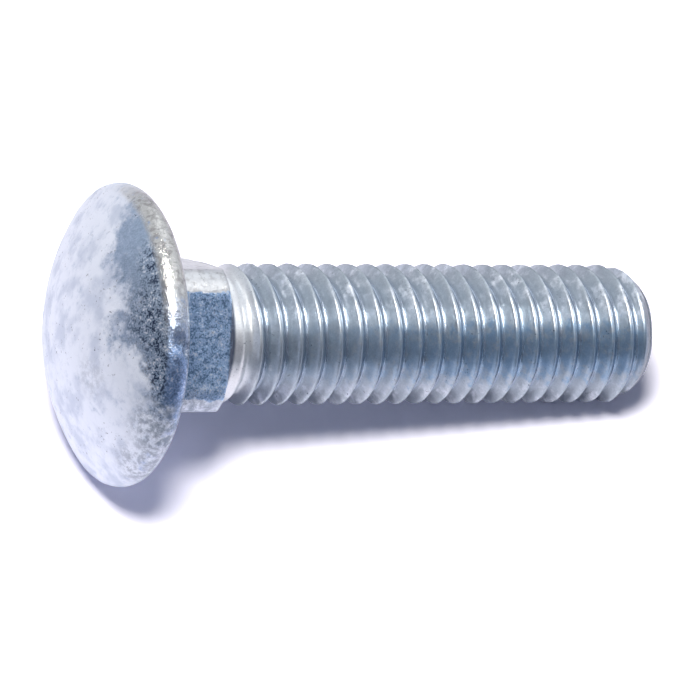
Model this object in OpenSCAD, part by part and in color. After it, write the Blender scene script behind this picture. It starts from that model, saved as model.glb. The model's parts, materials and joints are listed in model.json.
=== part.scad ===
// Carriage bolt, 1/2-13 UNC, nominally 2 in long, hot-dip galvanised.
// One forged and rolled piece: a domed round head, a square neck and a shank threaded to the neck.
// It lies as it comes to rest, on the rim of the head and the last full crest of the thread.
// Origin: the centre of the bearing face under the head. +X runs toward the tip, +Z is up.
// Lengths are in millimetres and angles in degrees.

/* [Head] */
// Diameter of the head
head_d = 26.8; // [22:0.1:30]
// Height of the head, from the bearing face to the top of the dome
head_h = 7; // [5:0.1:8]
// Radius of the rounded rim
rim_r = 1.4; // [0.6:0.05:2]

/* [Neck] */
// Width of the square neck across its flats
neck_w = 12.7; // [12.6:0.1:14]
// Length of the neck from the bearing face
neck_l = 6.9; // [5:0.1:12]
// Radius of the neck's four long corners
neck_corner_r = 2.2; // [0.4:0.1:3]
// Slope of the neck's end, where the corners fall to the shank
neck_end_angle = 56; // [30:1:70]
// Height of the small step from the shank up to the neck
shoulder_h = 0.15; // [0.1:0.01:0.2]
// Turn of the neck's flats about the bolt's axis
neck_turn = 51; // [0:1:90]

/* [Shank] */
// Length under the head
bolt_l = 49.6; // [30:0.1:80]
// Diameter of the plain shank just under the neck
shank_d = 12.2; // [11.6:0.05:12.2]

/* [Thread] */
// Outside diameter of the thread
thread_d = 12.55; // [12.4:0.01:12.6]
// Threads per inch
threads_per_inch = 13; // [12:1:14]
// Height of the thread from root to crest
thread_depth = 1.1; // [0.8:0.05:1.2]
// Included angle between the thread's flanks
flank_angle = 60; // [50:1:60]
// Width of the thread's crest
crest_w = 0.26; // [0.1:0.01:0.3]
// Plain length between the neck and the first cut of the thread
plain_l = 0.5; // [0.2:0.1:4]
// Length over which the thread deepens to its full height
runout_l = 2.4; // [1:0.1:6]

/* [Tip] */
// Diameter of the flat end
tip_d = 10; // [8:0.1:10.2]
// Length of the taper from the thread to the flat end
tip_l = 2.15; // [1:0.05:4]

/* [Hidden] */

// Galvanised steel
zinc = [0.72, 0.75, 0.80];

// Steps in one turn of the thread
turn_steps = 36;
// Depth that the shank is set into the neck
seat_l = 1;
// Smallest step that the grid of the thread takes along the axis
least_step = 0.03;

// Dome of the head: one arc on the axis that runs smoothly into the rim's arc
head_r = head_d / 2;
rim_at = head_r - rim_r;
dome_r = (rim_at ^ 2 + (head_h - rim_r) ^ 2 - rim_r ^ 2) / (2 * (head_h - 2 * rim_r));
dome_at = dome_r - head_h;
dome_half = atan2(rim_at, dome_at + rim_r);

// Neck
corner_reach = (neck_w / 2 - neck_corner_r) * sqrt(2) + neck_corner_r;
neck_end_r = shank_d / 2 + shoulder_h;
neck_end_l = (corner_reach - neck_end_r) / tan(neck_end_angle);

// Thread
pitch = 25.4 / threads_per_inch;
crest_r = thread_d / 2;
root_r = crest_r - thread_depth;
flank_w = thread_depth * tan(flank_angle / 2);
taper_z = bolt_l - tip_l;
shank_z = neck_l - seat_l;
cut_z = neck_l + plain_l;
// Places along one pitch, from the middle of a crest, and the radius at each
ridge = [
    [-crest_w / 2, crest_r],
    [crest_w / 2, crest_r],
    [crest_w / 2 + flank_w, root_r],
    [pitch - crest_w / 2 - flank_w, root_r]
];
ridge_n = len(ridge);
// The helix starts a whole number of turns below the taper, at least one turn inside the neck
turns_down = ceil((taper_z - shank_z) / pitch) + 2;
first_z = taper_z - turns_down * pitch;
rows = ridge_n * (ceil((bolt_l - first_z) / pitch) + 1);

// Angle of the axis to the floor when the rim and a flat side of the last full crest both touch it
rest_run = taper_z - crest_w / 2 + rim_r;
rest_drop = rim_at - crest_r * cos(180 / turn_steps);
lie_angle = atan2(rest_drop, rest_run) + asin(rim_r / norm([rest_run, rest_drop]));

function limit(value, low, high) = min(max(value, low), high);

// Radius that the tapered end allows at a place along the axis
function taper_r(z) = z <= taper_z ? crest_r : crest_r - (crest_r - tip_d / 2) * (z - taper_z) / tip_l;

// Share of the thread's full height at a place along the axis
function cut_share(z) = limit((z - cut_z) / runout_l, 0, 1);

// Place of a grid point along the axis: its own on the helix, held within the two ends
function held_z(z) = z < shank_z + least_step ? shank_z : z > bolt_l - least_step ? bolt_l : z;

function helix_z(step, row) =
    first_z + pitch * (step / turn_steps + floor(row / ridge_n)) + ridge[row % ridge_n][0];

function helix_r(z, row) =
    z == bolt_l ? tip_d / 2
    : min(shank_d / 2 + (ridge[row % ridge_n][1] - shank_d / 2) * cut_share(z), taper_r(z));

// The columns stand half a step to either side of zero, so a flat side of the thread faces the floor
function grid_point(step, row) =
    let (z = held_z(helix_z(step, row)), r = helix_r(z, row), turn = 360 * (step + 0.5) / turn_steps)
    [r * cos(turn), r * sin(turn), z];

// Number of a grid point: past the last step, the same row has moved up by one pitch
function grid_at(step, row) =
    step < turn_steps ? step * (rows + 1) + min(row, rows) : min(row + ridge_n, rows);

module dome_outline() {
    intersection() {
        translate([0, -dome_at]) circle(r = dome_r, $fn = 180);
        polygon([
            [0, -dome_at],
            [rim_at, rim_r],
            [rim_at, rim_r] + 2 * rim_r * [sin(dome_half), cos(dome_half)],
            [rim_at, head_h + rim_r],
            [0, head_h + rim_r]
        ]);
    }
}

// Head seen in section, with the bearing face at zero and the dome upward
module head_outline() {
    intersection() {
        union() {
            dome_outline();
            translate([rim_at, rim_r]) circle(r = rim_r, $fn = 60);
            polygon([[0, 0], [rim_at, 0], [rim_at, rim_r], [0, rim_r]]);
        }
        square([2 * head_r, 2 * head_h]);
    }
}

module head() {
    mirror([0, 0, 1])
        rotate_extrude($fn = 120) head_outline();
}

// Square bar with round corners, its end cut back to the shank by a cone
module neck() {
    flat_w = neck_w - 2 * neck_corner_r;
    intersection() {
        rotate(neck_turn) {
            translate([-neck_w / 2, -flat_w / 2, -seat_l]) cube([neck_w, flat_w, neck_l + seat_l]);
            translate([-flat_w / 2, -neck_w / 2, -seat_l]) cube([flat_w, neck_w, neck_l + seat_l]);
            for (x = [-1, 1], y = [-1, 1])
                translate([x * flat_w / 2, y * flat_w / 2, -seat_l])
                    cylinder(r = neck_corner_r, h = neck_l + seat_l, $fn = 48);
        }
        union() {
            translate([0, 0, -seat_l])
                cylinder(r = corner_reach + 1, h = neck_l + seat_l - neck_end_l, $fn = 96);
            translate([0, 0, neck_l - neck_end_l])
                cylinder(r1 = corner_reach, r2 = neck_end_r, h = neck_end_l, $fn = 96);
        }
    }
}

// Shank and thread as one skin over a grid that follows the helix
module shank() {
    points = [for (step = [0:turn_steps - 1], row = [0:rows]) grid_point(step, row)];
    sides = [
        for (step = [0:turn_steps - 1], row = [0:rows - 1])
            let (a = grid_at(step, row), b = grid_at(step, row + 1),
                 c = grid_at(step + 1, row + 1), d = grid_at(step + 1, row))
            each [[a, b, c], [a, c, d]]
    ];
    real = [for (f = sides) if (points[f[0]] != points[f[1]] && points[f[1]] != points[f[2]]
        && points[f[2]] != points[f[0]]) f];
    start = [for (step = [0:turn_steps - 1]) step * (rows + 1)];
    end = [for (step = [turn_steps - 1:-1:0]) step * (rows + 1) + rows];
    polyhedron(points, concat(real, [start, end]), convexity = 4);
}

module carriage_bolt() {
    color(zinc)
        rotate([0, 90 + lie_angle, 0])
            union() {
                head();
                neck();
                shank();
            }
}

carriage_bolt();
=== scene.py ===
import json
import math

import bpy
import numpy as np
from mathutils import Matrix, Vector, noise

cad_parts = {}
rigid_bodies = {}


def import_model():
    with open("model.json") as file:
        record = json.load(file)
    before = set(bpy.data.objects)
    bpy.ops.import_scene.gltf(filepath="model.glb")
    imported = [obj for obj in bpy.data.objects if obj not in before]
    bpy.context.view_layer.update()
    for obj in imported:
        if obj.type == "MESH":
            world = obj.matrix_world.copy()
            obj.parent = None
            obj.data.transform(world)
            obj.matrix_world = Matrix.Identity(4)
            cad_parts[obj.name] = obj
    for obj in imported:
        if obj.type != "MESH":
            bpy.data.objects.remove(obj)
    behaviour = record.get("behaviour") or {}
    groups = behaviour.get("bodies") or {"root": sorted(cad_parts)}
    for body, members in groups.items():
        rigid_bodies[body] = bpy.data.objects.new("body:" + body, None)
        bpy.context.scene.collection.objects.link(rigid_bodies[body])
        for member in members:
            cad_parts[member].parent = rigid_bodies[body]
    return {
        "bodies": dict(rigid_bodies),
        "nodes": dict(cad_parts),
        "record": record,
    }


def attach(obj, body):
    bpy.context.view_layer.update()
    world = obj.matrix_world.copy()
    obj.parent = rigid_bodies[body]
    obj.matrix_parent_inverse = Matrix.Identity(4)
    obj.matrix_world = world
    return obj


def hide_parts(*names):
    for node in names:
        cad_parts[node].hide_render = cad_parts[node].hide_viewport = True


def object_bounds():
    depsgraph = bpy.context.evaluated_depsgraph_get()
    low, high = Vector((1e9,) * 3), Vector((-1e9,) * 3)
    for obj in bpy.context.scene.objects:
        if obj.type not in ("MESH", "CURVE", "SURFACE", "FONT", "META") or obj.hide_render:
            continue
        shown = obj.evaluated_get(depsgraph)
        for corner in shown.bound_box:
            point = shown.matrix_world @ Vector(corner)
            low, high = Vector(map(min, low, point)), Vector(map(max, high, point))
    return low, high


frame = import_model()
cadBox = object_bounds()
print("frame loaded")

mm = 0.001
inch = 25.4 * mm
fullTurn = 2 * math.pi
quarterTurn = math.pi / 2

# The bolt lies on the rim of its head and on its thread, so its axis dips toward the tip.
mounts = {mount["name"]: mount for mount in frame["record"]["mounts"]}
boltAxis = Vector(mounts["bearing_face"]["axis"]).normalized()
dip = math.asin(-boltAxis.z)
layDown = Matrix.Rotation(quarterTurn + dip, 4, "Y")     # from along +Z to along +X with the tip low
bodyName = next(iter(frame["bodies"]))
nodeName = "carriage_bolt"


# Shape of the bolt. Heights run along its axis from the bearing face: the head is below zero.
boltShape = {
    "headAcross": 26.8 * mm,
    "headHigh": 7.0 * mm,
    "rimRadius": 1.4 * mm,
    "neckFillet": 0.6 * mm,      # between the bearing face and the neck
    "neckAcross": 12.7 * mm,
    "neckLong": 6.9 * mm,
    "neckCorner": 2.2 * mm,
    "neckEndAngle": 72.0,        # slope of the neck's end
    "neckTurn": 51.0,            # degrees about the axis, from the side that faces the floor
    "neckEdgeSoft": 0.25 * mm,   # rounding where the neck's end cuts its flats
    "underHead": 49.6 * mm,
    "shankAcross": 12.2 * mm,
    "threadAcross": 12.55 * mm,
    "threadsPerInch": 13,
    "threadHigh": 1.15 * mm,
    "crestWide": 0.1 * mm,
    "flankAngle": 66.0,
    "ridgeSoft": 0.20,           # rounding of crest and root, as a share of the thread's height
    "plainLong": 0.45 * mm,
    "runOut": 2.4 * mm,
    "tipAcross": 10.0 * mm,
    "tipLong": 2.15 * mm,
    "tipRound": 0.4 * mm,
    "tipProud": 0.08 * mm,       # added to the tip's radius at its rounded edge
    "taperProud": 0.16 * mm,     # and at the end of the taper
    "taperCurve": 1.4,           # one is a straight taper, and more is a rounder one
    "taperSoft": 0.2 * mm,       # rounding where the taper cuts the crests
    # how finely the skin is divided
    "columns": 208,              # steps round the bolt
    "pitchRows": 12,             # steps along one pitch
    "domeSteps": 78,
    "domeStart": 0.004,          # share of the dome that the round facet at its middle takes
    "rimSteps": 20,
    "faceSteps": 11,
    "filletSteps": 6,
    "neckSteps": 34,
    "tipSteps": 6,
    "tipFlat": (0.85, 0.7, 0.5, 0.3, 0.12, 0.02),   # rings on the flat end, as shares of its radius
    "weldWithin": 0.0005 * mm,
}


def softMin(a, b, soft):
    blend = np.clip(0.5 + 0.5 * (b - a) / soft, 0, 1)
    return b * (1 - blend) + a * blend - soft * blend * (1 - blend)


def softMax(a, b, soft):
    return -softMin(-a, -b, soft)


def ring(radius, height, angles):
    radius = np.broadcast_to(radius, angles.shape)
    height = np.broadcast_to(height, angles.shape)
    return np.stack([radius * np.cos(angles), radius * np.sin(angles), height], axis=1)


def squareRadius(shape, angles):
    # distance from the axis to a square with round corners, in each direction
    flat = shape["neckAcross"] / 2
    corner = shape["neckCorner"]
    halfSide = quarterTurn / 2
    turned = angles - math.radians(shape["neckTurn"])
    fromFlat = np.abs((turned + halfSide) % quarterTurn - halfSide)
    fromCorner = halfSide - fromFlat
    toFlat = flat / np.cos(fromFlat)
    centre = flat - corner
    reach = centre * math.sqrt(2)
    bulge = np.maximum(corner ** 2 - (reach * np.sin(fromCorner)) ** 2, 0)
    toCorner = reach * np.cos(fromCorner) + np.sqrt(bulge)
    onCorner = toFlat * np.sin(fromFlat) > centre
    return np.where(onCorner, toCorner, toFlat)


def ridge(along, shape, pitch):
    # share of the thread's height, at a distance along the bolt from the middle of a crest
    flank = shape["threadHigh"] * math.tan(math.radians(shape["flankAngle"] / 2))
    away = abs((along / pitch + 0.5) % 1 - 0.5) * pitch
    share = 1 - (away - shape["crestWide"] / 2) / flank
    soft = shape["ridgeSoft"] * 2
    rounded = softMax(softMin(share, 1, soft), 0, soft)
    return rounded / (1 - soft / 4)


def tipRadius(shape):
    return shape["tipAcross"] / 2 + shape["tipProud"]


def headRings(shape, angles, square):
    # dome, rim and bearing face, up to the fillet round the neck
    rim = shape["rimRadius"]
    rimAt = shape["headAcross"] / 2 - rim
    high = shape["headHigh"]
    dome = (rimAt ** 2 + (high - rim) ** 2 - rim ** 2) / (2 * (high - 2 * rim))
    domeHalf = math.atan2(rimAt, dome - high + rim)
    rings = []
    for turn in np.linspace(shape["domeStart"], 1, shape["domeSteps"]) * domeHalf:
        rings.append(ring(dome * math.sin(turn), dome * (1 - math.cos(turn)) - high, angles))
    for turn in np.linspace(quarterTurn - domeHalf, -quarterTurn, shape["rimSteps"])[1:]:
        rings.append(ring(rimAt + rim * math.cos(turn), -rim - rim * math.sin(turn), angles))
    for share in np.linspace(0, 1, shape["faceSteps"])[1:]:
        rings.append(ring(rimAt * (1 - share) + (square + shape["neckFillet"]) * share, 0.0, angles))
    return rings


def neckRings(shape, angles, square):
    # fillet under the head, then flats and corners that a cone cuts back to the shank
    fillet = shape["neckFillet"]
    end = shape["neckLong"]
    shank = shape["shankAcross"] / 2
    slope = math.tan(math.radians(shape["neckEndAngle"]))
    soft = shape["neckEdgeSoft"]
    rings = []
    for turn in np.linspace(0, quarterTurn, shape["filletSteps"])[1:]:
        rings.append(ring(square + fillet * (1 - math.sin(turn)), fillet * (1 - math.cos(turn)), angles))
    for height in np.linspace(fillet, end, shape["neckSteps"])[1:-1]:
        cut = softMin(square, shank + (end - height) * slope, soft)
        rings.append(ring(softMax(cut, shank, soft / 2), height, angles))
    rings.append(ring(shank, end, angles))
    return rings


def threadRings(shape, angles):
    # rows that climb one pitch a turn, held between the neck's end and the tip's rounded edge
    pitch = inch / shape["threadsPerInch"]
    start = shape["neckLong"]
    taperAt = shape["underHead"] - shape["tipLong"]
    endAt = shape["underHead"] - shape["tipRound"]
    turnsDown = math.ceil((taperAt - start) / pitch) + 2
    firstAt = taperAt - turnsDown * pitch
    rowCount = shape["pitchRows"] * (math.ceil((endAt - firstAt) / pitch) + 1)
    shank = shape["shankAcross"] / 2
    crest = shape["threadAcross"] / 2
    root = crest - shape["threadHigh"]
    taperEnd = shape["tipAcross"] / 2 + shape["taperProud"]
    rings = []
    for row in range(rowCount + 1):
        along = row * pitch / shape["pitchRows"]
        height = np.clip(firstAt + along + pitch * angles / fullTurn, start, endAt)
        radius = root + shape["threadHigh"] * ridge(along, shape, pitch)
        deep = np.clip((height - start - shape["plainLong"]) / shape["runOut"], 0, 1)
        deep = deep * deep * (3 - 2 * deep)
        radius = shank + (radius - shank) * deep
        past = np.clip((height - taperAt) / (endAt - taperAt), 0, 1)
        limit = crest + (taperEnd - crest) * past ** shape["taperCurve"]
        radius = np.where(past > 0, softMin(radius, limit, shape["taperSoft"]), radius)
        radius = np.where(height >= endAt, tipRadius(shape), radius)
        rings.append(ring(radius, height, angles))
    return rings


def tipRings(shape, angles):
    # rounded edge and flat end
    soft = shape["tipRound"]
    end = shape["underHead"]
    radius = tipRadius(shape)
    rings = []
    for turn in np.linspace(0, quarterTurn, shape["tipSteps"]):
        rings.append(ring(radius - soft * (1 - math.cos(turn)), end - soft + soft * math.sin(turn), angles))
    for share in shape["tipFlat"]:
        rings.append(ring((radius - soft) * share, end, angles))
    return rings


def bandFaces(columns, first, count, climb):
    # quads between neighbouring rings: the last column meets the first one, some rings further on
    step = np.arange(columns)
    bands = []
    for i in range(count - 1):
        low = (first + i) * columns + step
        high = low + columns
        lowNext = np.roll(low, -1)
        highNext = np.roll(high, -1)
        lowNext[-1] = (first + min(i + climb, count - 1)) * columns
        highNext[-1] = (first + min(i + 1 + climb, count - 1)) * columns
        bands.append(np.stack([low, lowNext, highNext, high], axis=1))
    return np.concatenate(bands)


def weld(points, quads, caps, within):
    # the thread's rows end on the same circle, so points that fall together become one
    grid = np.round(points / within).astype(np.int64)
    _, first, index = np.unique(grid, axis=0, return_index=True, return_inverse=True)
    index = index.ravel()
    faces = []
    for face in list(index[quads]) + [index[cap] for cap in caps]:
        corners = [int(v) for i, v in enumerate(face) if v != face[i - 1]]
        if len(set(corners)) > 2:
            faces.append(corners)
    return points[first], faces


def boltSkin(shape):
    columns = shape["columns"]
    angles = np.arange(columns) * fullTurn / columns
    square = squareRadius(shape, angles)
    body = headRings(shape, angles, square) + neckRings(shape, angles, square)
    thread = threadRings(shape, angles)
    tip = tipRings(shape, angles)
    quads = []
    first = 0
    for rings, climb in ((body, 0), (thread, shape["pitchRows"]), (tip, 0)):
        quads.append(bandFaces(columns, first, len(rings), climb))
        first += len(rings)
    step = np.arange(columns)
    caps = [step[::-1], (first - 1) * columns + step]
    return weld(np.concatenate(body + thread + tip), np.concatenate(quads), caps, shape["weldWithin"])


def meshObject(name, points, faces):
    mesh = bpy.data.meshes.new(name)
    mesh.from_pydata([tuple(p) for p in points], [], faces)
    mesh.validate()
    mesh.update()
    mesh.shade_smooth()
    piece = bpy.data.objects.new(name, mesh)
    bpy.context.collection.objects.link(piece)
    return piece


# Unevenness of the forging and its coat over the whole skin, and small dents in the rim.
boltWear = {
    "forgeSize": 5.0 * mm,       # broad unevenness of the head
    "forgeDepth": 0.05 * mm,
    "lumpSize": 1.1 * mm,        # lumps of zinc
    "lumpDepth": 0.018 * mm,
    "threadSize": 1.6 * mm,      # uneven crests
    "threadDepth": 0.035 * mm,
    "fadeFrom": 0.5 * mm,        # where the head's own unevenness starts to fade
    "fadeLong": 1.0 * mm,
    "seed": (3.1, 7.7, 1.3),
    "dentEnd": 3.0,              # how many times its reach a dent goes on for
    # dents: turn about the axis in degrees, distance from the axis, height, reach and depth
    "dents": [
        (227.0, 13.35 * mm, -1.3 * mm, 0.60 * mm, 0.42 * mm),
        (231.0, 13.35 * mm, -0.6 * mm, 0.50 * mm, 0.34 * mm),
        (208.0, 13.35 * mm, -0.9 * mm, 0.42 * mm, 0.26 * mm),
    ],
}


def roundPlace(turn, out, height):
    # a place on the bolt as it stands along +Z, from its turn about the axis
    angle = math.radians(turn)
    return Vector((out * math.cos(angle), out * math.sin(angle), height))


def unitShare(value):
    return min(max(value, 0), 1)


def wearSkin(mesh, wear, shape):
    mesh.update()
    seed = Vector(wear["seed"])
    dents = [(roundPlace(*dent[:3]), *dent[3:]) for dent in wear["dents"]]
    moves = []
    for vertex in mesh.vertices:
        at = vertex.co
        onHead = unitShare((wear["fadeFrom"] - at.z) / wear["fadeLong"])
        onThread = unitShare((at.z - shape["neckLong"]) / wear["fadeLong"])
        push = noise.noise(at / wear["forgeSize"] + seed) * wear["forgeDepth"] * onHead
        push += noise.noise(at / wear["lumpSize"] - seed) * wear["lumpDepth"]
        push += noise.noise(at / wear["threadSize"] + seed * 2) * wear["threadDepth"] * onThread
        for centre, reach, depth in dents:
            away = (at - centre).length / reach
            if away < wear["dentEnd"]:
                push -= depth * math.exp(-away * away)
        moves.append(at + vertex.normal * push)
    mesh.vertices.foreach_set("co", np.array(moves).ravel())
    mesh.update()


points, faces = boltSkin(boltShape)
bolt = meshObject("galvanisedBolt", points, faces)
wearSkin(bolt.data, boltWear, boltShape)
bolt.data.transform(layDown)
print("bolt skin:", len(points), "points,", len(faces), "faces")
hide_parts(nodeName)
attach(bolt, bodyName)


# Some colours are painted light and shade: a highlight on the run-out, shade in the roots, in the groove at
# the neck's end and at the tip, and a dark reflection along one side of the thread.
# Galvanised finish: pale frost over darker, shinier zinc. The head is mostly frost, the thread mostly bare.
# A place on it is its turn about the axis in degrees, distance from the axis, and height.
zincLook = {
    "colours": {
        "frost": (0.84, 0.88, 0.95),
        "haze": (0.58, 0.64, 0.75),
        "bareHead": (0.38, 0.48, 0.62),
        "bareNeck": (0.22, 0.39, 0.66),
        "paleNeck": (0.48, 0.65, 0.89),
        "bareRim": (0.26, 0.38, 0.62),
        # painted highlight: the run-out's zinc is made pale where its broad highlight lies
        "runOutHighlight": (0.80, 0.82, 0.84),
        "bareThread": (0.44, 0.50, 0.56),
        # bare zinc in the thread's roots, darkened with painted shade
        "bareRootShaded": (0.31, 0.37, 0.45),
        # painted dark reflection along one side of the thread
        "darkReflectionSide": (0.29, 0.41, 0.55),
        # painted dark reflection: darker zinc at the tip
        "tipDarkReflection": (0.27, 0.31, 0.36),
        "fleck": (0.03, 0.05, 0.10),
        "spark": (0.92, 0.95, 1.0),
        "cream": (0.63, 0.63, 0.61),
        "stain": (0.27, 0.26, 0.26),
        "dull": (0.23, 0.28, 0.36),
        # painted shade for the groove at the neck's end
        "grooveShade": (0.11, 0.13, 0.18),
    },
    "metallic": 0.85,
    "roughFrost": 0.60,
    "roughBare": 0.34,
    "roughCream": 0.17,
    "roughRunOut": 0.34,
    "roughRoot": 0.27,
    # noises: size of the marks, detail and roughness
    "noises": {
        "clouds": (3.0 * mm, 6, 0.6),
        "haze": (2.6 * mm, 5, 0.54),
        "mottle": (0.9 * mm, 6, 0.7),
        "blots": (0.60 * mm, 5, 0.6),
        "lumps": (0.45 * mm, 3, 0.5),
        "flecks": (0.30 * mm, 5, 0.65),
        "fine": (0.17 * mm, 2, 0.5),
        "grain": (0.12 * mm, 3, 0.6),
    },
    "swellDepth": 0.06 * mm,
    "lumpDepth": 0.026 * mm,
    "grainDepth": 0.014 * mm,

    # where each part's own finish, or its painted shade or highlight, starts or ends, as heights
    "headEnds": (0.15 * mm, 0.55 * mm),
    "threadStarts": (-0.1 * mm, 0.3 * mm),        # these four are from the neck's end
    "runOutEnds": (1.2 * mm, 3.6 * mm),
    "grooveShadeStarts": (-0.50 * mm, -0.25 * mm),
    "grooveShadeEnds": (0.1 * mm, 0.4 * mm),
    "tipStarts": (-1.6 * mm, -0.6 * mm),          # from the flat end
    # and as distances from the axis
    "rootEnds": (5.20 * mm, 5.50 * mm),
    "rimStarts": (12.5 * mm, 13.1 * mm),
    "edgeStarts": (12.8 * mm, 13.25 * mm),

    # shares of frost, grit and bump on the head, on the neck and on the thread
    "frostShare": (0.75, 0.05, 0.25),
    "gritShare": (0.15, 0.50, 0.10),
    "bumpShare": (1.4, 2.2, 0.25),
    "frostLoss": {"runOut": 0.7, "root": 0.5, "side": 0.5},
    "edgeClean": 0.5,                             # how much of its grit the rim's edge loses
    # places where frost is thin: the place, reach, depth and share of grit
    "rubbed": [
        (219.0, 13.2 * mm, -2.0 * mm, 6.2 * mm, 0.62, 1.0),
        (196.0, 13.3 * mm, -1.8 * mm, 4.0 * mm, 0.20, 1.0),
        (240.0, 12.9 * mm, -2.2 * mm, 4.0 * mm, 0.20, 1.0),
        (186.0, 11.6 * mm, -3.3 * mm, 5.0 * mm, 0.66, 0.0),
        (167.0, 12.4 * mm, -2.8 * mm, 2.8 * mm, 0.40, 0.0),
        (239.0, 13.4 * mm, -0.7 * mm, 3.2 * mm, 0.75, 0.3),
        (252.0, 13.4 * mm, -1.0 * mm, 4.0 * mm, 0.34, 0.8),
        (222.0, 8.6 * mm, -5.1 * mm, 3.0 * mm, 0.36, 0.2),
    ],
    # places where the frost itself is dull and gritty: the place, reach and depth
    "dullFrost": [
        (263.0, 13.3 * mm, -1.6 * mm, 4.4 * mm, 0.80),
        (286.0, 13.3 * mm, -1.9 * mm, 3.8 * mm, 0.60),
        (284.0, 8.0 * mm, 3.4 * mm, 4.0 * mm, 0.75),
        (262.0, 6.0 * mm, -6.1 * mm, 2.6 * mm, 0.30),
    ],
    "spotCore": 0.35,                             # share of a place's reach that has its whole effect
    # cream zinc on the rim: the place and reach
    "creamRim": (184.0, 13.4 * mm, -0.8 * mm, 11.0 * mm),
    # the neck's flats that frost covers: turn, distance of the frost's edge, and share of cream zinc
    "frostedFlats": [
        (141.0, 4.5 * mm, 0.6),
        (321.0, 5.1 * mm, 0.0),
    ],
    "flatEdge": (-0.15 * mm, 0.15 * mm),
    "flatUneven": 1.2 * mm,
    # painted dark reflection: a darker, bluer band along one side of the thread: its turn, and how it grows
    # along the bolt
    "darkReflectionSideTurn": 243.0,
    "darkReflectionSideLong": (8.0 * mm, 32.0 * mm),
    "darkReflectionSideShare": (0.2, 1.0),
    "darkReflectionSideFacing": (0.84, 1.00),               # cosines of the angle away from its middle
    "darkReflectionSideUneven": 0.7,

    # how much of each field goes into a mixture
    "patchWeights": (0.4, 0.6, 0.40),             # clouds, mottle and the share of frost
    "speckWeights": (0.5, 0.5),                   # fine marks and blots
    "dullWeights": (0.7, 0.3),                    # dull blots and dull specks
    "hazeShare": 0.7,
    "stainShare": 0.65,
    # levels of noise between which a mark starts and is whole
    "frostLevels": (0.56, 0.78),
    "hazeLevels": (0.44, 0.66),
    "darkLevels": (0.42, 0.50),
    "brightLevels": (0.55, 0.60),
    "neckLevels": (0.30, 0.68),
    "creamLevels": (0.26, 0.42),
    "stainLevels": (0.46, 0.64),
    "grooveShadeLevels": (0.10, 0.50),
    "fleckLevels": (0.60, 0.70),
    "fleckedClouds": (0.48, 0.60),
    "dullBlots": (0.38, 0.62),
    "dullSpecks": (0.42, 0.58),
}


def newMaterial(name):
    material = bpy.data.materials.new(name)
    material.use_nodes = True
    material.node_tree.nodes.clear()
    return material, material.node_tree


def feed(tree, socket, value):
    # link a socket, or set a colour or a number
    if isinstance(value, bpy.types.NodeSocket):
        tree.links.new(value, socket)
    elif isinstance(value, tuple):
        socket.default_value = (*value, 1.0)
    else:
        socket.default_value = value


def setSurface(tree, shader):
    output = tree.nodes.new("ShaderNodeOutputMaterial")
    tree.links.new(shader.outputs[0], output.inputs["Surface"])


def mathNode(tree, operation, first, second):
    node = tree.nodes.new("ShaderNodeMath")
    node.operation = operation
    feed(tree, node.inputs[0], first)
    feed(tree, node.inputs[1], second)
    return node.outputs[0]


def times(tree, first, second):
    return mathNode(tree, "MULTIPLY", first, second)


def plus(tree, first, second):
    return mathNode(tree, "ADD", first, second)


def minus(tree, first, second):
    return mathNode(tree, "SUBTRACT", first, second)


def weighted(tree, fields, weights):
    total = times(tree, fields[0], weights[0])
    for field, weight in zip(fields[1:], weights[1:]):
        total = plus(tree, total, times(tree, field, weight))
    return total


def vectorNode(tree, operation, first, second, result):
    node = tree.nodes.new("ShaderNodeVectorMath")
    node.operation = operation
    feed(tree, node.inputs[0], first)
    feed(tree, node.inputs["Scale" if operation == "SCALE" else 1], second)
    return node.outputs[result]


def rangeNode(tree, value, levels, results):
    node = tree.nodes.new("ShaderNodeMapRange")
    node.interpolation_type = "SMOOTHSTEP"
    feed(tree, node.inputs["Value"], value)
    for name, number in zip(("From Min", "From Max", "To Min", "To Max"), (*levels, *results)):
        node.inputs[name].default_value = number
    return node.outputs["Result"]


def rise(tree, value, levels, base=0.0):
    # zero below the first level and one above the second
    return rangeNode(tree, value, (base + levels[0], base + levels[1]), (0.0, 1.0))


def fall(tree, value, levels, base=0.0):
    # one below the first level and zero above the second
    return rangeNode(tree, value, (base + levels[0], base + levels[1]), (1.0, 0.0))


def mixNode(tree, kind, share, first, second):
    # the node keeps its sockets for numbers and for colours in different places
    node = tree.nodes.new("ShaderNodeMix")
    node.data_type = kind
    firstAt, secondAt, resultAt = {"FLOAT": (2, 3, 0), "RGBA": (6, 7, 2)}[kind]
    feed(tree, node.inputs[0], share)
    feed(tree, node.inputs[firstAt], first)
    feed(tree, node.inputs[secondAt], second)
    return node.outputs[resultAt]


def mixNumber(tree, share, first, second):
    return mixNode(tree, "FLOAT", share, first, second)


def mixColour(tree, share, first, second):
    return mixNode(tree, "RGBA", share, first, second)


def noiseNode(tree, where, size, detail, rough):
    node = tree.nodes.new("ShaderNodeTexNoise")
    node.inputs["Scale"].default_value = 1 / size
    node.inputs["Detail"].default_value = detail
    node.inputs["Roughness"].default_value = rough
    tree.links.new(where, node.inputs["Vector"])
    return node.outputs["Fac"]


def bumpNode(tree, height, depth, under=None):
    node = tree.nodes.new("ShaderNodeBump")
    node.inputs["Strength"].default_value = 1.0
    node.inputs["Distance"].default_value = depth
    tree.links.new(height, node.inputs["Height"])
    if under is not None:
        tree.links.new(under, node.inputs["Normal"])
    return node.outputs["Normal"]


def spot(tree, look, field, place, reach):
    # one at a place on the bolt, and zero from its reach outward
    away = vectorNode(tree, "DISTANCE", field["where"], layDown @ roundPlace(*place), "Value")
    return fall(tree, away, (reach * look["spotCore"], reach))


def sideways(tree, field, turn):
    # distance from the axis toward one side of the bolt
    return vectorNode(tree, "DOT_PRODUCT", field["where"], layDown @ roundPlace(turn, 1.0, 0.0), "Value")


def uneven(tree, field, amount):
    return times(tree, minus(tree, field["mottle"], 0.5), amount)


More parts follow.
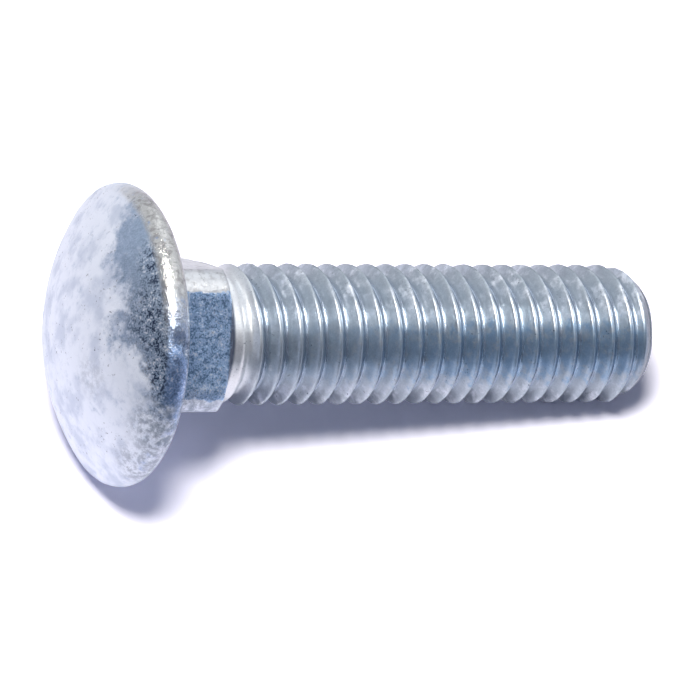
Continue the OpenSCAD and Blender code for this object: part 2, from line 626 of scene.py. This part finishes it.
def zincFields(tree, look):
    # what the whole finish is worked out from: distances along the axis and from it, and the noises
    where = tree.nodes.new("ShaderNodeTexCoord").outputs["Object"]
    along = vectorNode(tree, "DOT_PRODUCT", where, boltAxis, "Value")
    foot = vectorNode(tree, "SCALE", boltAxis, along, "Vector")
    out = vectorNode(tree, "DISTANCE", where, foot, "Value")
    field = {"where": where, "along": along, "out": out}
    for name, (size, detail, rough) in look["noises"].items():
        field[name] = noiseNode(tree, where, size, detail, rough)
    field["specks"] = weighted(tree, (field["fine"], field["blots"]), look["speckWeights"])
    return field


# the side of the thread that gets a painted dark reflection, growing along the bolt
def darkReflectionSide(tree, look, field):
    turned = mathNode(tree, "DIVIDE", sideways(tree, field, look["darkReflectionSideTurn"]), field["out"])
    turned = plus(tree, turned, uneven(tree, field, look["darkReflectionSideUneven"]))
    grown = rangeNode(tree, field["along"], look["darkReflectionSideLong"], look["darkReflectionSideShare"])
    return times(tree, rise(tree, turned, look["darkReflectionSideFacing"]), grown)


def partMasks(tree, look, shape, field):
    # one on each part of the bolt, and zero off it
    along, out = field["along"], field["out"]
    neckEnd, flatEnd = shape["neckLong"], shape["underHead"]
    head = fall(tree, along, look["headEnds"])
    thread = rise(tree, along, look["threadStarts"], neckEnd)
    grooveShadeStart = rise(tree, along, look["grooveShadeStarts"], neckEnd)
    return {
        "head": head,
        "neck": minus(tree, minus(tree, 1.0, head), thread),
        "thread": thread,
        "rim": times(tree, head, rise(tree, out, look["rimStarts"])),
        "edge": times(tree, head, rise(tree, out, look["edgeStarts"])),
        # the groove at the neck's end, where shade is painted
        "grooveShade": times(tree, grooveShadeStart, fall(tree, along, look["grooveShadeEnds"], neckEnd)),
        "runOut": times(tree, thread, fall(tree, along, look["runOutEnds"], neckEnd)),
        "root": times(tree, thread, fall(tree, out, look["rootEnds"])),
        # the side of the thread with the painted dark reflection
        "side": times(tree, thread, darkReflectionSide(tree, look, field)),
        "tip": rise(tree, along, look["tipStarts"], flatEnd),
    }


def byPart(tree, on, values):
    head, neck, thread = values
    return mixNumber(tree, on["thread"], mixNumber(tree, on["head"], neck, head), thread)


def zincCover(tree, look, field, on):
    # how far frost, grit and cream zinc cover each place
    share = byPart(tree, on, look["frostShare"])
    gritty = byPart(tree, on, look["gritShare"])
    for *place, reach, depth, grit in look["rubbed"]:
        near = spot(tree, look, field, place, reach)
        share = minus(tree, share, times(tree, near, depth))
        gritty = mathNode(tree, "MAXIMUM", gritty, times(tree, near, grit))
    for part, loss in look["frostLoss"].items():
        share = minus(tree, share, times(tree, on[part], loss))
    gritty = times(tree, gritty, minus(tree, 1.0, times(tree, on["edge"], look["edgeClean"])))

    *place, reach = look["creamRim"]
    creamy = times(tree, spot(tree, look, field, place, reach), on["rim"])
    for turn, edge, cream in look["frostedFlats"]:
        side = plus(tree, sideways(tree, field, turn), uneven(tree, field, look["flatUneven"]))
        covered = times(tree, rise(tree, side, look["flatEdge"], edge), on["neck"])
        share = plus(tree, share, covered)
        gritty = times(tree, gritty, minus(tree, 1.0, covered))
        creamy = mathNode(tree, "MAXIMUM", creamy, times(tree, covered, cream))

    # frost lies where patches of noise, raised by its share, pass a level
    patches = weighted(tree, (field["clouds"], field["mottle"], share), look["patchWeights"])
    return rise(tree, patches, look["frostLevels"]), gritty, creamy


def bareZinc(tree, look, field, on, gritty):
    # a colour for each part, with painted shade in the roots, a painted dark reflection along one side of
    # the thread and at the tip, a painted highlight on the run-out, and dark specks and bright sparks where
    # it is gritty
    colours = look["colours"]
    specks = field["specks"]
    bare = mixColour(tree, rise(tree, specks, look["neckLevels"]), colours["bareNeck"], colours["paleNeck"])
    bare = mixColour(tree, on["head"], bare, colours["bareHead"])
    bare = mixColour(tree, on["edge"], bare, colours["bareRim"])
    # the roots get bare zinc darkened with painted shade
    thread = mixColour(tree, on["root"], colours["bareThread"], colours["bareRootShaded"])
    # painted dark reflection along one side of the thread
    thread = mixColour(tree, on["side"], thread, colours["darkReflectionSide"])
    # painted highlight on the run-out
    thread = mixColour(tree, on["runOut"], thread, colours["runOutHighlight"])
    # painted dark reflection at the tip
    thread = mixColour(tree, on["tip"], thread, colours["tipDarkReflection"])
    bare = mixColour(tree, on["thread"], bare, thread)
    dark = times(tree, fall(tree, specks, look["darkLevels"]), gritty)
    bright = times(tree, rise(tree, specks, look["brightLevels"]), gritty)
    return mixColour(tree, bright, mixColour(tree, dark, bare, colours["fleck"]), colours["spark"])


def zincColour(tree, look, field, on, frosted, gritty, creamy):
    colours = look["colours"]
    hazy = times(tree, rise(tree, field["haze"], look["hazeLevels"]), look["hazeShare"])
    frost = mixColour(tree, hazy, colours["frost"], colours["haze"])
    base = mixColour(tree, frosted, bareZinc(tree, look, field, on, gritty), frost)

    # cream zinc with stains in it, painted shade in the groove at the neck's end, and a few dark flecks all
    # over
    cream = times(tree, creamy, rise(tree, field["mottle"], look["creamLevels"]))
    stained = times(tree, creamy, rise(tree, field["blots"], look["stainLevels"]))
    grooveShaded = times(tree, on["grooveShade"], rise(tree, field["mottle"], look["grooveShadeLevels"]))
    flecked = times(tree, rise(tree, field["flecks"], look["fleckLevels"]),
                    rise(tree, field["clouds"], look["fleckedClouds"]))
    base = mixColour(tree, cream, base, colours["cream"])
    base = mixColour(tree, times(tree, stained, look["stainShare"]), base, colours["stain"])
    base = mixColour(tree, grooveShaded, base, colours["grooveShade"])
    base = mixColour(tree, flecked, base, colours["fleck"])

    # dull, gritty frost
    blots = fall(tree, field["blots"], look["dullBlots"])
    specks = fall(tree, field["specks"], look["dullSpecks"])
    dulling = weighted(tree, (blots, specks), look["dullWeights"])
    for *place, reach, depth in look["dullFrost"]:
        near = times(tree, spot(tree, look, field, place, reach), depth)
        base = mixColour(tree, times(tree, near, dulling), base, colours["dull"])
    return base


def zincRoughness(tree, look, on, frosted, creamy):
    rough = mixNumber(tree, on["root"], look["roughBare"], look["roughRoot"])
    rough = mixNumber(tree, on["runOut"], rough, look["roughRunOut"])
    rough = mixNumber(tree, frosted, rough, look["roughFrost"])
    return mixNumber(tree, creamy, rough, look["roughCream"])


def zincBump(tree, look, field, on):
    # strong on the neck and faint on the thread, so that its highlights stay clean
    relief = byPart(tree, on, look["bumpShare"])
    normal = bumpNode(tree, times(tree, field["mottle"], on["head"]), look["swellDepth"])
    normal = bumpNode(tree, times(tree, field["lumps"], relief), look["lumpDepth"], normal)
    return bumpNode(tree, times(tree, field["grain"], relief), look["grainDepth"], normal)


def galvanisedMaterial(look, shape):
    material, tree = newMaterial("galvanisedZinc")
    field = zincFields(tree, look)
    on = partMasks(tree, look, shape, field)
    frosted, gritty, creamy = zincCover(tree, look, field, on)
    shader = tree.nodes.new("ShaderNodeBsdfPrincipled")
    shader.inputs["Metallic"].default_value = look["metallic"]
    feed(tree, shader.inputs["Base Color"], zincColour(tree, look, field, on, frosted, gritty, creamy))
    feed(tree, shader.inputs["Roughness"], zincRoughness(tree, look, on, frosted, creamy))
    feed(tree, shader.inputs["Normal"], zincBump(tree, look, field, on))
    setSurface(tree, shader)
    return material


zinc = galvanisedMaterial(zincLook, boltShape)
bolt.data.materials.append(zinc)
frame["nodes"][nodeName].data.materials.clear()
frame["nodes"][nodeName].data.materials.append(zinc)
print("zinc finish made")


# Where the photo was taken from, as fitted to the head's outline, the shank's edges and the thread.
photoView = {
    "axisTurn": 25.75,           # degrees that the bolt's axis leans away from the picture
    "axisRise": 0.2,             # degrees that it rises across the picture
    "lookDown": 45.0,            # degrees above the floor
    "distance": 472.5 * mm,      # from the bearing face, along the view
    "pixelsPerMm": 11.345,       # at the bearing face
    "bearingAt": (133.1, 334.5), # pixel of the bearing face's centre
    "pixels": 700,
    "sensor": 36.0,
    "clip": (0.01, 20.0),
}


def photoAxes(view):
    # the scene's three axes as the camera sees them: right, up and toward it
    turn, rising = math.radians(view["axisTurn"]), math.radians(view["axisRise"])
    level = math.cos(rising)
    axis = Vector((math.cos(turn) * level, math.sin(rising), -math.sin(turn) * level))
    upOut = math.sin(math.radians(view["lookDown"]))
    flat = math.hypot(axis.x, axis.y)
    along = (-math.sin(dip) - axis.z * upOut) / flat
    across = math.sqrt(1 - upOut ** 2 - along ** 2)
    upRight = (along * axis.x - across * axis.y) / flat
    upHigh = (along * axis.y + across * axis.x) / flat
    up = Vector((upRight, upHigh, upOut))
    forward = (axis + up * math.sin(dip)).normalized()
    return forward, up.cross(forward), up


def addCamera(view):
    turnToWorld = Matrix(photoAxes(view))
    centre = view["pixels"] / 2
    pixel = mm / view["pixelsPerMm"]
    aside = (view["bearingAt"][0] - centre) * pixel
    above = (centre - view["bearingAt"][1]) * pixel
    place = turnToWorld @ Vector((-aside, -above, view["distance"]))
    camera = bpy.data.objects.new("photoCamera", bpy.data.cameras.new("photoCamera"))
    bpy.context.collection.objects.link(camera)
    camera.matrix_world = Matrix.Translation(place) @ turnToWorld.to_4x4()
    camera.data.sensor_width = view["sensor"]
    camera.data.lens = view["sensor"] * view["distance"] / (pixel * view["pixels"])
    camera.data.clip_start, camera.data.clip_end = view["clip"]
    bpy.context.scene.camera = camera
    return camera


camera = addCamera(photoView)
print("camera placed")


# White table in a dim room, with one lamp high on the camera's side and three soft panels that only
# metal catches. Azimuths are in degrees from the camera's side, positive toward its right.
studio = {
    "middle": 20 * mm,           # the lamps aim at the table here, this far along the bolt
    "floorSize": 4.0,
    "floorColour": (0.84, 0.83, 0.93),
    "shownGain": 1.50,           # how much paler the camera sees the floor
    "lamps": {
        # elevation, azimuth, distance, width, height, power, colour, and whether only metal catches it
        "keyLamp": (70.3, -27.0, 0.5, 0.18, 0.18, 3.2, (1.0, 0.97, 0.93), False),
        "topPanel": (62.0, 80.0, 0.55, 0.45, 0.45, 0.4, (1.0, 1.0, 1.0), True),
        "leftPanel": (38.0, -135.0, 0.6, 1.2, 0.8, 1.8, (0.94, 0.97, 1.0), True),
        "rightPanel": (38.0, 135.0, 0.6, 1.2, 0.8, 2.2, (0.94, 0.97, 1.0), True),
    },
    "roomColour": (0.09, 0.10, 0.14),
    "matFrom": 30 * mm,          # a dark mat on the camera's side, which only the metal reflects
    "matTo": 600 * mm,
    "matLift": 0.5 * mm,
    "matColour": (0.03, 0.08, 0.15),
}


def towardAzimuth(azimuth):
    # level direction at an angle from the camera's side of the table
    toCamera = camera.matrix_world.to_3x3() @ Vector((0, 0, 1))
    turn = math.atan2(toCamera.y, toCamera.x) + math.radians(azimuth)
    return Vector((math.cos(turn), math.sin(turn), 0))


def addFloor(setup, height):
    half = setup["floorSize"] / 2
    corners = [(-half, -half, height), (half, -half, height), (half, half, height), (-half, half, height)]
    floor = meshObject("whiteTable", corners, [[0, 1, 2, 3]])
    material, tree = newMaterial("tableWhite")
    path = tree.nodes.new("ShaderNodeLightPath")
    shown = tuple(part * setup["shownGain"] for part in setup["floorColour"])
    shader = tree.nodes.new("ShaderNodeBsdfDiffuse")
    colour = mixColour(tree, path.outputs["Is Camera Ray"], setup["floorColour"], shown)
    feed(tree, shader.inputs["Color"], colour)
    setSurface(tree, shader)
    floor.data.materials.append(material)


def addDarkMat(setup, height):
    ahead, aside = towardAzimuth(0), towardAzimuth(90)
    lift = Vector((0, 0, height + setup["matLift"]))
    near, far = setup["matFrom"], setup["matTo"]
    corners = []
    for away, wide in ((near, -far), (near, far), (far, far), (far, -far)):
        corners.append(ahead * away + aside * wide + lift)
    mat = meshObject("darkMat", corners, [[0, 1, 2, 3]])
    material, tree = newMaterial("matDark")
    shader = tree.nodes.new("ShaderNodeEmission")
    feed(tree, shader.inputs["Color"], setup["matColour"])
    setSurface(tree, shader)
    mat.data.materials.append(material)
    mat.visible_camera = False
    mat.visible_diffuse = False
    mat.visible_shadow = False


def addLamps(setup, height):
    middle = Vector((setup["middle"], 0, height))
    for name, (rising, azimuth, distance, width, tall, power, colour, metalOnly) in setup["lamps"].items():
        light = bpy.data.lights.new(name, "AREA")
        light.shape = "ELLIPSE" if width == tall else "RECTANGLE"
        light.size, light.size_y = width, tall
        light.energy = power
        light.color = colour
        lamp = bpy.data.objects.new(name, light)
        bpy.context.collection.objects.link(lamp)
        out = towardAzimuth(azimuth) * math.cos(math.radians(rising))
        out.z = math.sin(math.radians(rising))
        lamp.location = middle + out * distance
        lamp.rotation_euler = out.to_track_quat("Z", "Y").to_euler()
        lamp.visible_diffuse = not metalOnly


def addRoom(setup):
    world = bpy.data.worlds.new("room")
    bpy.context.scene.world = world
    world.use_nodes = True
    background = world.node_tree.nodes["Background"]
    feed(world.node_tree, background.inputs["Color"], setup["roomColour"])
    background.inputs["Strength"].default_value = 1.0


floorHeight = cadBox[0][2]
addFloor(studio, floorHeight)
addDarkMat(studio, floorHeight)
addLamps(studio, floorHeight)
addRoom(studio)
bpy.context.scene.view_settings.view_transform = "Standard"
print("table and light set")
